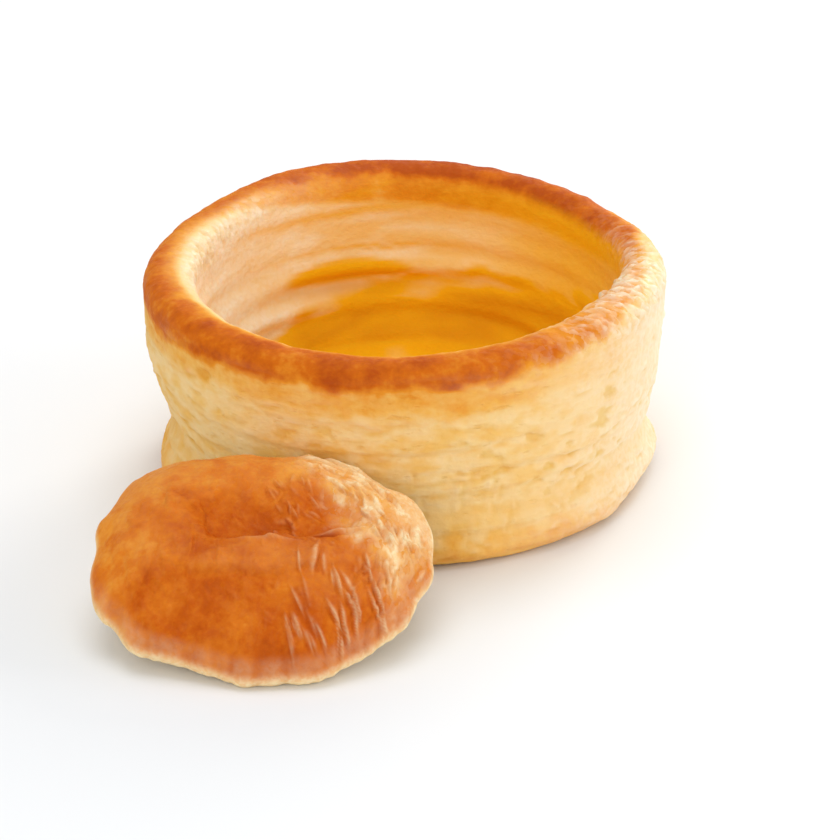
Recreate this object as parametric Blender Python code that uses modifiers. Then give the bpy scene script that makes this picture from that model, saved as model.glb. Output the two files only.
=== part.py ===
"""A vol au vent: an empty puff pastry case, with its own baked lid leaning against its side.

Metres, +Z up. The origin is the centre of the case's flat base, and -Y is the front.
Angles round the case and the lid are counted from +X, anticlockwise seen from above.
"""

import math

import bpy
import numpy as np
from mathutils import Matrix

MM = 0.001

# Driving sizes of the case.
CASE_RADIUS = 45.0 * MM  # widest, at the outside of the rim
CASE_HEIGHT = 39.8 * MM  # to the rim's crown
RIM_WIDTH = 8.3 * MM  # across the browned ring
RIM_DEPTH = 4.0 * MM  # from the crown down to the ring's widest level
RIM_SQUARENESS = 2.4  # 2 is an ellipse, more is squarer
SHOULDER_RADIUS = 44.2 * MM
SHOULDER_HEIGHT = 24.0 * MM
WAIST_RADIUS = 41.2 * MM
WAIST_HEIGHT = 10.5 * MM
BULGE_RADIUS = 42.7 * MM
BULGE_HEIGHT = 4.0 * MM
SPREAD_REACH = 5.0 * MM  # how far above and below its level an uneven spread is felt
FOOT_RADIUS = 38.6 * MM  # the ring where the base leaves the table
FLOOR_HEIGHT = 9.5 * MM  # pastry left under the hollow
FLOOR_RADIUS = 28.5 * MM

# Driving sizes of the lid.
LID_RADIUS = 28.4 * MM  # half its width, along X
LID_DEPTH_SHARE = 0.845  # its depth is this share of its width
LID_EDGE = 6.4 * MM  # thickness at the edge
LID_RISE = 5.4 * MM  # how much higher its middle puffs up
LID_TILT = math.radians(24.0)  # its back edge is raised, against the case
LID_PLACE = (-24.2 * MM, -60.6 * MM)
LID_BEDDING = 0.5 * MM  # how deep a flat the table presses into the lid's front edge

# How finely each stretch is faceted.
CASE_STEPS = 84
FLOOR_ROWS = 5
INSIDE_ROWS = 17
RIM_ROWS = 11
OUTSIDE_ROWS = 25
LID_STEPS = 66
LID_ROWS = 22
MERGE = 0.01 * MM


def smooth_step(low, high, value):
    """0 at low, 1 at high, and a smooth S between them."""
    t = np.clip((value - low) / (high - low), 0.0, 1.0)
    return t * t * (3.0 - 2.0 * t)


def hump(value, centre, width):
    """A bell of height 1 at centre."""
    return np.exp(-(((value - centre) / width) ** 2))


def angle_from(angle, centre):
    """The signed angle from centre, between -pi and pi."""
    return (angle - centre + math.pi) % (2.0 * math.pi) - math.pi


def waves(angle, terms):
    """A sum of (size, count, phase) waves round the axis."""
    return sum(size * np.cos(count * angle + phase) for size, count, phase in terms)


def cubic(a, b, c, d, t):
    """The Catmull-Rom curve from b to c, with a before them and d after."""
    return b + 0.5 * ((c - a) * t + (2 * a - 5 * b + 4 * c - d) * t**2 + (3 * b - a - 3 * c + d) * t**3)


def around(angle, values):
    """A smooth closed curve through values in mm, given at even angles from +X."""
    values = np.array(values) * MM
    place = angle / (2.0 * math.pi) * len(values)
    first = np.floor(place).astype(int)
    a, b, c, d = (values[(first + step) % len(values)] for step in (-1, 0, 1, 2))
    return cubic(a, b, c, d, place - first)


def curve_through(points, rows):
    """A Catmull-Rom curve through the points, cut into equal lengths."""
    points = [2 * np.array(points[0]) - points[1], *points, 2 * np.array(points[-1]) - points[-2]]
    points = np.array(points, float)
    t = np.linspace(0.0, 1.0, 24, endpoint=False)[:, None]
    fine = []
    for a, b, c, d in zip(points, points[1:], points[2:], points[3:]):
        fine.append(cubic(a, b, c, d, t))
    fine = np.vstack([*fine, points[-2]])
    length = np.r_[0.0, np.cumsum(np.hypot(*np.diff(fine, axis=0).T))]
    places = np.linspace(0.0, length[-1], rows + 1)
    return np.column_stack([np.interp(places, length, fine[:, k]) for k in (0, 1)])


def case_profile():
    """The case's half section, from the middle of its floor, over the rim and down to the base."""
    half = RIM_WIDTH / 2
    middle = CASE_RADIUS - half
    level = CASE_HEIGHT - RIM_DEPTH
    inner = middle - half
    hollow = CASE_HEIGHT - FLOOR_HEIGHT
    corner = (FLOOR_RADIUS, FLOOR_HEIGHT + 1.3 * MM)
    floor = curve_through([(0.0, FLOOR_HEIGHT), (0.7 * FLOOR_RADIUS, FLOOR_HEIGHT + 0.2 * MM), corner], FLOOR_ROWS)
    inside = curve_through(
        [
            corner,
            (0.89 * inner, FLOOR_HEIGHT + 0.18 * hollow),
            (0.94 * inner, FLOOR_HEIGHT + 0.38 * hollow),
            (inner, FLOOR_HEIGHT + 0.62 * hollow),
            (inner, level),
        ],
        INSIDE_ROWS,
    )
    turn = np.linspace(math.pi, 0.0, RIM_ROWS)[1:-1]
    power = 2.0 / RIM_SQUARENESS
    rim = np.column_stack(
        [
            middle + half * np.sign(np.cos(turn)) * np.abs(np.cos(turn)) ** power,
            level + RIM_DEPTH * np.sin(turn) ** power,
        ]
    )
    outside = curve_through(
        [
            (CASE_RADIUS, level),
            (SHOULDER_RADIUS, SHOULDER_HEIGHT),
            (0.45 * SHOULDER_RADIUS + 0.55 * WAIST_RADIUS, 0.4 * SHOULDER_HEIGHT + 0.6 * WAIST_HEIGHT),
            (WAIST_RADIUS, WAIST_HEIGHT),
            (BULGE_RADIUS, BULGE_HEIGHT),
            (0.97 * BULGE_RADIUS, 0.3 * BULGE_HEIGHT),
            (FOOT_RADIUS, 0.0),
        ],
        OUTSIDE_ROWS,
    )
    return np.vstack([floor, inside[1:], rim, outside, [(0.0, 0.0)]])


# Outside folds: the height, how far it sways, in how many waves, their phase, and the depth of the groove.
FOLDS = [
    (7.0 * MM, 0.9 * MM, 3, 0.4, 0.75 * MM),
    (12.6 * MM, 1.5 * MM, 2, 2.2, 0.80 * MM),
    (17.8 * MM, 1.2 * MM, 3, 4.4, 0.70 * MM),
    (23.4 * MM, 1.7 * MM, 2, 0.9, 0.75 * MM),
    (28.8 * MM, 0.8 * MM, 3, 3.1, 0.40 * MM),
]
FOLD_WIDTH = 1.3 * MM

# Inside ledges: the height, its sway, the waves, their phase, and how far the ledge stands proud.
LEDGES = [
    (28.6 * MM, 0.9 * MM, 1, 1.9, 0.55 * MM),
    (23.8 * MM, 1.3 * MM, 1, 0.8, 0.95 * MM),
    (17.2 * MM, 1.8 * MM, 1, 2.6, 1.25 * MM),
    (13.2 * MM, 0.9 * MM, 2, 0.3, 0.70 * MM),
]
LEDGE_WIDTH = 1.4 * MM

# Pockets where the inside layers have parted: direction, half its spread, height, half height and depth.
POCKETS = [
    (math.radians(108), math.radians(20), 20.4 * MM, 1.9 * MM, 2.1 * MM),
    (math.radians(62), math.radians(30), 14.8 * MM, 2.1 * MM, 1.3 * MM),
    (math.radians(-35), math.radians(24), 20.0 * MM, 1.8 * MM, 1.5 * MM),
    (math.radians(-140), math.radians(22), 16.2 * MM, 1.7 * MM, 1.2 * MM),
]

# How the baked case strays from the turned one, in mm at every 30 degrees, anticlockwise from +X.
RIM_LIFT = [0.4, -0.9, 0.2, 1.0, 1.1, -0.8, -1.3, -1.0, -1.1, -0.6, 0.8, 1.5]  # up
RIM_SPREAD = [0.1, 0.2, -0.1, -0.4, -0.2, 0.3, 0.8, 0.4, -0.3, -0.4, 0.1, 0.2]  # outwards
MOUTH_SPREAD = [0.6, 0.6, 0.3, 0.0, -0.2, -0.5, -0.8, -0.5, -0.2, 0.1, 0.2, -0.3]
SHOULDER_SPREAD = [0.4, 0.2, 0.0, 0.0, 0.2, 0.5, 0.9, 0.6, 0.1, -0.2, 0.0, 0.2]
WAIST_SPREAD = [0.9, 0.5, 0.1, -0.2, 0.3, -0.3, -1.1, -0.6, -0.1, 0.2, 0.3, 0.6]
BULGE_SPREAD = [1.2, 0.6, -0.2, 0.4, -0.3, 0.1, 1.0, 0.3, 0.5, -0.3, -0.3, 0.1]


def outside_relief(angle, height):
    """How far the wall's outside stands proud of the turned shape."""
    grooves = 0.0
    for level, sway, count, phase, depth in FOLDS:
        line = level + sway * np.cos(count * angle + phase)
        strength = 0.6 + 0.4 * np.cos((count + 1) * angle - 2.0 * phase)
        # A fold overhangs the groove below it: sharp above the line and soft under it.
        width = np.where(height > line, 0.6 * FOLD_WIDTH, 1.7 * FOLD_WIDTH)
        grooves = grooves + depth * strength * np.exp(-(((height - line) / width) ** 2))
    shoulder = around(angle, SHOULDER_SPREAD) * hump(height, SHOULDER_HEIGHT, SPREAD_REACH)
    waist = around(angle, WAIST_SPREAD) * hump(height, WAIST_HEIGHT, SPREAD_REACH)
    bulge = around(angle, BULGE_SPREAD) * hump(height, BULGE_HEIGHT, SPREAD_REACH)
    return shoulder + waist + bulge - grooves


def inside_relief(angle, height):
    """How far the hollow's wall stands back from the turned shape, away from the axis."""
    back = 0.0
    for level, sway, count, phase, proud in LEDGES:
        line = level + sway * np.cos(count * angle + phase)
        strength = 0.65 + 0.35 * np.cos((count + 2) * angle + 1.7 * phase)
        back = back - proud * strength * hump(height, line, LEDGE_WIDTH)
        back = back + 0.5 * proud * strength * hump(height, line - 2.0 * LEDGE_WIDTH, LEDGE_WIDTH)
    for direction, spread, level, tall, depth in POCKETS:
        side = hump(angle_from(angle, direction), 0.0, spread)
        back = back + depth * side * hump(height, level, tall)
    return back


def shape_case(points):
    """Turns the smooth turned case into the baked one: folds, ledges, and a rim that isn't level."""
    radius = np.hypot(points[:, 0], points[:, 1])
    angle = np.arctan2(points[:, 1], points[:, 0])
    height = points[:, 2].copy()
    ring = CASE_RADIUS - 0.5 * RIM_WIDTH
    is_outside = smooth_step(ring - 1.5 * MM, ring + 1.5 * MM, radius)
    is_wall = smooth_step(CASE_HEIGHT - 0.6 * MM, CASE_HEIGHT - 5.0 * MM, height)
    off_floor = smooth_step(FLOOR_HEIGHT + 0.4 * MM, FLOOR_HEIGHT + 3.0 * MM, height)
    off_base = smooth_step(0.0, 2.0 * MM, height)
    near_rim = smooth_step(0.55 * CASE_HEIGHT, CASE_HEIGHT - RIM_DEPTH, height)

    outward = is_outside * is_wall * off_base * outside_relief(angle, height)
    outward += (1.0 - is_outside) * is_wall * off_floor * inside_relief(angle, height)
    outward += near_rim * around(angle, RIM_SPREAD)
    outward += (1.0 - is_outside) * off_floor * around(angle, MOUTH_SPREAD)
    stretch = (radius + outward) / np.maximum(radius, 1e-9)
    points[:, 0] *= stretch
    points[:, 1] *= stretch
    points[:, 2] += near_rim * around(angle, RIM_LIFT)
    return points


def lid_profile():
    """The lid's half section, from the middle of its top, round its edge, to the middle of its underside."""
    top = curve_through(
        [
            (0.0, LID_EDGE + LID_RISE),
            (0.40 * LID_RADIUS, LID_EDGE + 0.93 * LID_RISE),
            (0.72 * LID_RADIUS, LID_EDGE + 0.62 * LID_RISE),
            (0.90 * LID_RADIUS, LID_EDGE + 0.10 * LID_RISE),
            (LID_RADIUS, 0.56 * LID_EDGE),
            (0.955 * LID_RADIUS, 0.16 * LID_EDGE),
            (0.86 * LID_RADIUS, 0.0),
        ],
        LID_ROWS,
    )
    underside = [(0.55 * LID_RADIUS, 0.10 * LID_EDGE), (0.0, 0.14 * LID_EDGE)]
    return np.vstack([top, underside])


# How the lid's outline strays from an oval, in mm at every 22.5 degrees, anticlockwise from +X.
LID_SPREAD = [0.1, 1.6, 0.4, 0.1, -1.4, 0.4, 1.7, 0.2, -0.4, 0.7, 0.6, -0.8, 0.8, 0.7, -0.3, -0.3]

# Dips and swells of the lid's top, all in mm: place, half size along x and y, turn in degrees,
# height (a dip is below 0), and the softness of its edge, as a share of its half size.
LID_RELIEF = [
    ((3.2, 5.0), (14.0, 5.6), 3, -1.5, 0.35),  # the long sunken hollow
    ((-3.8, 3.4), (6.5, 4.2), -8, -1.1, 0.6),  # its deeper left end
    ((13.6, 6.6), (4.6, 3.0), 25, -0.6, 0.6),
    ((5.4, 8.0), (2.0, 4.6), -24, 1.1, 0.8),  # the ridge that runs into it from behind
    ((2.0, -4.6), (12.5, 3.4), 4, 1.2, 0.6),  # the puffed lip in front of it
    ((-17.0, 2.0), (6.5, 10.0), 8, 0.9, 0.9),
    ((-12.0, -12.5), (7.0, 4.0), -20, -0.8, 0.9),
    ((12.0, -9.0), (8.0, 5.0), 15, 0.7, 0.9),
    ((21.0, 0.0), (4.0, 9.0), 10, 0.8, 0.9),
]
LID_FOLDS = [(0.30 * MM, 11, 0.6), (0.22 * MM, 17, 2.4)]  # pleats round the lid's edge


def lid_dips(x, y):
    """The height that the dips and swells add to the lid's top at a place on it."""
    rise = 0.0
    for (at_x, at_y), (half_x, half_y), turn, height, softness in LID_RELIEF:
        c, s = math.cos(math.radians(turn)), math.sin(math.radians(turn))
        along = (c * (x / MM - at_x) + s * (y / MM - at_y)) / half_x
        across = (c * (y / MM - at_y) - s * (x / MM - at_x)) / half_y
        rise = rise + height * MM * smooth_step(1.0 + softness, 1.0 - softness, np.hypot(along, across))
    return rise


def shape_lid(points):
    """Turns the smooth turned lid into the baked one: an uneven outline, pleats, dips and swells."""
    radius = np.hypot(points[:, 0], points[:, 1])
    angle = np.arctan2(points[:, 1], points[:, 0])
    height = points[:, 2].copy()
    share = radius / LID_RADIUS
    outward = around(angle, LID_SPREAD) * share
    outward += waves(angle, LID_FOLDS) * smooth_step(0.75, 1.0, share)
    stretch = (radius + outward) / np.maximum(radius, 1e-9)
    points[:, 0] *= stretch
    points[:, 1] *= stretch * LID_DEPTH_SHARE
    on_top = smooth_step(0.3 * LID_EDGE, 0.9 * LID_EDGE, height)
    points[:, 2] += on_top * lid_dips(points[:, 0], points[:, 1])
    return points


def lid_placement():
    """The lid lies on its front edge, with its back edge raised: a turn about X, then a move."""
    return Matrix.Translation((*LID_PLACE, 0.0)) @ Matrix.Rotation(LID_TILT, 4, "X")


def mesh_points(mesh):
    points = np.empty(len(mesh.vertices) * 3, np.float32)
    mesh.vertices.foreach_get("co", points)
    return points.reshape(-1, 3).astype(float)


def set_mesh_points(mesh, points):
    mesh.vertices.foreach_set("co", points.astype(np.float32).ravel())
    mesh.update()


def turned_object(name, profile, steps, collection):
    """A closed mesh turned round Z from its half section."""
    outline = bpy.data.meshes.new(name + "_profile")
    line = [(i, i + 1) for i in range(len(profile) - 1)]
    outline.from_pydata([(radius, 0.0, height) for radius, height in profile], line, [])
    turned = bpy.data.objects.new(name, outline)
    collection.objects.link(turned)
    screw = turned.modifiers.new("turn", "SCREW")
    screw.axis = "Z"
    screw.steps = screw.render_steps = steps
    screw.use_merge_vertices = True
    screw.merge_threshold = MERGE
    graph = bpy.context.evaluated_depsgraph_get()
    mesh = bpy.data.meshes.new_from_object(turned.evaluated_get(graph))
    turned.modifiers.clear()
    turned.data = mesh
    mesh.name = name
    bpy.data.meshes.remove(outline)
    mesh.shade_smooth()
    return turned


def pastry(name, colour, roughness):
    material = bpy.data.materials.new(name)
    material.use_nodes = True
    shader = material.node_tree.nodes["Principled BSDF"]
    shader.inputs["Base Color"].default_value = (*colour, 1.0)
    shader.inputs["Roughness"].default_value = roughness
    shader.inputs["Metallic"].default_value = 0.0
    return material


def make_case(collection):
    case = turned_object("pastry_case", case_profile(), CASE_STEPS, collection)
    set_mesh_points(case.data, shape_case(mesh_points(case.data)))
    case.data.materials.append(pastry("case_pastry", (0.83, 0.50, 0.18), 0.55))
    return case


def make_lid(collection):
    lid = turned_object("pastry_lid", lid_profile(), LID_STEPS, collection)
    points = shape_lid(mesh_points(lid.data))
    placement = np.array(lid_placement())
    placed = points @ placement[:3, :3].T + placement[:3, 3]
    # The front edge beds on the table.
    placed[:, 2] = np.maximum(placed[:, 2] - placed[:, 2].min() - LID_BEDDING, 0.0)
    set_mesh_points(lid.data, placed)
    lid.data.materials.append(pastry("lid_crust", (0.62, 0.16, 0.03), 0.42))
    return lid


def main():
    for thing in list(bpy.data.objects):
        bpy.data.objects.remove(thing)
    collection = bpy.data.collections.new("vol_au_vent")
    bpy.context.scene.collection.children.link(collection)
    make_case(collection)
    make_lid(collection)


main()
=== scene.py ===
import math

import bpy
import numpy as np
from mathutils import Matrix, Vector


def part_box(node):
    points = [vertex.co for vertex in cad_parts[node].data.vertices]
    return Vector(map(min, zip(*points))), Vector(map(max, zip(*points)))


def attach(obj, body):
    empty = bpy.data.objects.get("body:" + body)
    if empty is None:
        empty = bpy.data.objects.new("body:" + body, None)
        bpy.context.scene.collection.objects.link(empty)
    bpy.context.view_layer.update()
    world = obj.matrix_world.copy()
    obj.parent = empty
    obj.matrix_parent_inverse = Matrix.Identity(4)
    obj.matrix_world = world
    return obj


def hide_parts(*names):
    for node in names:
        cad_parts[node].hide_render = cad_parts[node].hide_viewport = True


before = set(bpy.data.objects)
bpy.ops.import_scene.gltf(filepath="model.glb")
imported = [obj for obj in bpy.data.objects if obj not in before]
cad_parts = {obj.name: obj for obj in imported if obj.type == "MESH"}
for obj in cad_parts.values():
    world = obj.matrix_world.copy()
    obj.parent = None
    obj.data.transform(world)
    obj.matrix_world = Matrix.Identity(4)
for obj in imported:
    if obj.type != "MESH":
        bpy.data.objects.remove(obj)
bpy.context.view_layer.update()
print("frame loaded:", sorted(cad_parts))

mm = 0.001  # shapes are worked out in millimetres and stored in metres


# Curves and masks

def smoothStep(low, high, value):
    # 0 at low, 1 at high, 3t^2 - 2t^3 between them
    t = np.clip((value - low) / (high - low), 0.0, 1.0)
    return t * t * (3.0 - 2.0 * t)


def hump(value, centre, width):
    # exp of minus the squared distance from centre, in widths
    return np.exp(-(((value - centre) / width) ** 2))


def angleFrom(angle, degrees):
    # the signed angle from a direction, brought between -pi and pi
    return (angle - math.radians(degrees) + math.pi) % (2.0 * math.pi) - math.pi


def facing(angle, degrees, spread):
    # a bell of height 1 round the axis, with its direction and half spread in degrees
    return hump(angleFrom(angle, degrees), 0.0, math.radians(spread))


def cubicBetween(a, b, c, d, t):
    # Catmull-Rom: a cubic from b to c whose slopes are (c-a)/2 and (d-b)/2
    return b + 0.5 * ((c - a) * t + (2 * a - 5 * b + 4 * c - d) * t**2 + (3 * b - a - 3 * c + d) * t**3)


def aroundRing(angle, values):
    # a closed Catmull-Rom curve through values at even angles from +X
    values = np.array(values, float)
    place = angle / (2.0 * math.pi) * len(values)
    first = np.floor(place).astype(int)
    a, b, c, d = (values[(first + step) % len(values)] for step in (-1, 0, 1, 2))
    return cubicBetween(a, b, c, d, place - first)


def curveThrough(points, rows):
    # Catmull-Rom through the points, then cut into rows of equal length
    points = [2 * np.array(points[0]) - points[1], *points, 2 * np.array(points[-1]) - points[-2]]
    points = np.array(points, float)
    t = np.linspace(0.0, 1.0, 48, endpoint=False)[:, None]
    fine = [cubicBetween(a, b, c, d, t) for a, b, c, d in zip(points, points[1:], points[2:], points[3:])]
    fine = np.vstack([*fine, points[-2]])
    length = np.r_[0.0, np.cumsum(np.hypot(*np.diff(fine, axis=0).T))]
    places = np.linspace(0.0, length[-1], rows + 1)
    return np.column_stack([np.interp(places, length, fine[:, k]) for k in (0, 1)])


# Noise and strokes

def latticeNoise(points, size, seed):
    # a random slope at each corner of a lattice of cells, blended over the cell by 6t^5 - 15t^4 + 10t^3
    place = points / np.asarray(size, float) + 31.7 * seed
    cell = np.floor(place)
    inside = place - cell
    blend = inside**3 * (inside * (inside * 6.0 - 15.0) + 10.0)
    cell = cell.astype(np.int64)
    total = np.zeros(points.shape[:-1])
    for corner in np.ndindex(2, 2, 2):
        key = cell + np.array(corner)
        mixed = key[..., 0] * 374761393 + key[..., 1] * 668265263 + key[..., 2] * 915488749 + seed * 97
        mixed = ((mixed ^ (mixed >> 13)) & 0xFFFFFFFF) * 1274126177 & 0xFFFFFFFF
        mixed = (mixed ^ (mixed >> 15)) * 668265263 & 0xFFFFFFFF
        turn = (mixed & 0xFFFF) * (2.0 * math.pi / 65536)
        rise = (mixed >> 16) / 32767.5 - 1.0
        flat = np.sqrt(1.0 - rise**2)
        away = inside - np.array(corner)
        slope = flat * np.cos(turn) * away[..., 0] + flat * np.sin(turn) * away[..., 1] + rise * away[..., 2]
        total += slope * np.prod(np.where(corner, blend, 1.0 - blend), axis=-1)
    return 1.6 * total


def cloudNoise(points, size, seed, octaves=3, gain=0.5):
    # a sum of lattice noises, each half the size and gain times the strength of the one before
    size = np.asarray(size, float)
    return sum(gain**k * latticeNoise(points, size / 2**k, seed + 7 * k) for k in range(octaves))


def noisePatches(points, patch, seed):
    # 0 where the noise is under the patch's low value and 1 over its high one
    size, low, high = patch
    return smoothStep(low, high, latticeNoise(points, size, seed))


def leafSteps(height, thickness, overlap):
    # a stack of leaves: within each, the surface jumps out over its lower edge, then draws back going up
    share = height / thickness
    share = share - np.floor(share)
    return smoothStep(0.0, overlap, share) * (1.0 - 0.9 * share)


def scatteredStrokes(area, chance):
    # strokes spread over an area by a seeded draw: place, turn, half length, half width and height of each
    (fromX, fromY), (toX, toY), (turn, spread), lengths, widths, heights, count = area
    x, y = chance.uniform(fromX, toX, count), chance.uniform(fromY, toY, count)
    turns = turn + chance.uniform(-spread, spread, count)
    sizes = [chance.uniform(*limits, count) for limits in (lengths, widths, heights)]
    return np.column_stack([x, y, turns, *sizes])


def crestStrokes(x, y, strokes):
    # each stroke is a short crest that tapers to its ends, a bell that is wide above its line and sharp below
    # it, with a shallower groove under the sharp side; gives the height, and how far each place is on a
    # crest, less for low ones, or in a groove
    height, crest, groove = np.zeros_like(x), np.zeros_like(x), np.zeros_like(x)
    for atX, atY, turn, halfLength, halfWidth, rise in strokes:
        near = np.abs(x - atX) + np.abs(y - atY) < 1.8 * halfLength + 4.0 * halfWidth
        awayX, awayY = x[near] - atX, y[near] - atY
        c, s = math.cos(math.radians(turn)), math.sin(math.radians(turn))
        along = (c * awayX + s * awayY) / halfLength
        ends = smoothStep(1.25, 0.1, np.abs(along))
        across = (c * awayY - s * awayX) / (halfWidth * (0.45 + 0.55 * ends))
        ridge = ends * np.exp(-((across * np.where(across > 0.0, 0.75, 1.8)) ** 2))
        dip = ends * np.exp(-(((across + 1.3) / 0.8) ** 2))
        height[near] += rise * (ridge - 0.6 * dip)
        crest[near] = np.maximum(crest[near], ridge * min(1.0, rise / 0.3))
        groove[near] = np.maximum(groove[near], dip)
    return height, crest, groove


# Meshes

def surfaceNormals(grid):
    # cross product of the differences along the rows and round the steps, made unit length
    alongRows = np.gradient(grid, axis=0)
    roundSteps = np.roll(grid, -1, axis=1) - np.roll(grid, 1, axis=1)
    normal = np.cross(alongRows, roundSteps)
    length = np.linalg.norm(normal, axis=-1, keepdims=True)
    normal = normal / np.maximum(length, 1e-9)
    for pole, beside in ((0, 1), (-1, -2)):
        mean = normal[beside].mean(axis=0)
        normal[pole] = mean / max(np.linalg.norm(mean), 1e-9)
    return normal


def polesApart(field):
    # one value for the first row, all of the middle rows, and one for the last, as vertices are numbered
    return np.concatenate([field[0, :1], field[1:-1].reshape(-1, *field.shape[2:]), field[-1, :1]])


def closedSurface(name, grid, marks, material):
    # rows of points round the axis, quads between the rows, and fans to the two poles
    rows, steps = grid.shape[:2]
    mesh = bpy.data.meshes.new(name)
    ring = 1 + np.arange(rows - 2)[:, None] * steps + np.arange(steps)
    after = np.roll(ring, -1, axis=1)
    quads = np.stack([ring[:-1], ring[1:], after[1:], after[:-1]], axis=-1).reshape(-1, 4)
    lastPole = ring[-1, -1] + 1
    firstFan = np.stack([np.zeros(steps, int), ring[0], after[0]], axis=-1)
    lastFan = np.stack([ring[-1], np.full(steps, lastPole), after[-1]], axis=-1)
    points = polesApart(grid) * mm
    mesh.from_pydata(points.tolist(), [], quads.tolist() + firstFan.tolist() + lastFan.tolist())
    for mark, field in marks.items():
        values = polesApart(np.broadcast_to(np.clip(field, 0.0, 1.0), (rows, steps)))
        mesh.attributes.new(mark, "FLOAT", "POINT").data.foreach_set("value", values.astype(np.float32))
    mesh.shade_smooth()
    mesh.materials.append(material)
    piece = bpy.data.objects.new(name, mesh)
    bpy.context.scene.collection.objects.link(piece)
    print(name, "has", len(mesh.polygons) * 2 - 2 * steps, "triangles")
    return piece


# Materials

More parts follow.
